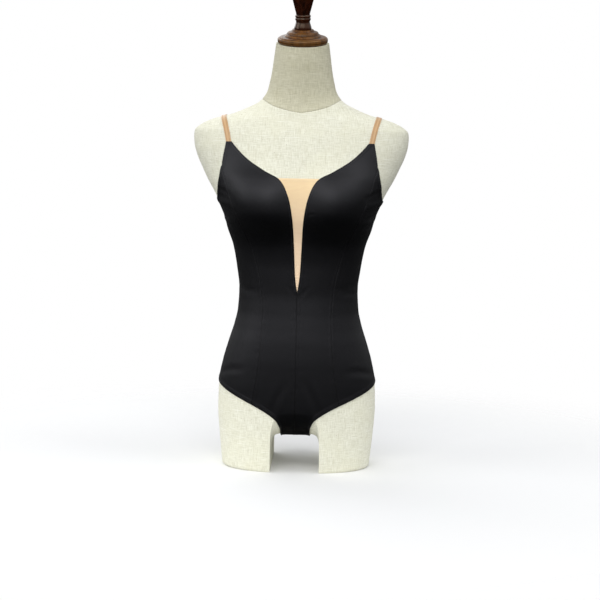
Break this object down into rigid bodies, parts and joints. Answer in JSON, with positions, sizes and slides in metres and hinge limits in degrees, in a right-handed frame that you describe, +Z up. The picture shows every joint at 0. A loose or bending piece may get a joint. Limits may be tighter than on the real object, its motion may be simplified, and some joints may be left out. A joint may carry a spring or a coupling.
{
  "type": "leotard on a dress form",
  "caption": "Black camisole leotard with a deep nude V inset and thin elastic straps, worn by a linen dress form that stands on its flat underside.",
  "frame": {"origin": "on the surface that the form stands on, under the middle of the whole object's box", "axes": "+Z up, -Y the way the leotard's front faces, +X to the wearer's left"},
  "size_m": [0.4048, 0.2532, 0.9145],
  "materials": {
    "leotard_black": "matte stretch knit with a soft sheen",
    "nude_mesh": "fine matte power mesh",
    "nude_elastic": "satin elastic",
    "linen": "plain woven linen with slubs",
    "dark_wood": "satin varnish"
  },
  "bodies": {
    "root": {"front_centre_left": "leotard_black", "front_centre_right": "leotard_black", "front_side_left": "leotard_black", "front_side_right": "leotard_black", "back": "leotard_black", "inset": "nude_mesh", "strap_left": "nude_elastic", "strap_right": "nude_elastic", "form_body": "linen", "neck_cap": "dark_wood", "finial": "dark_wood"}
  },
  "joints": []
}
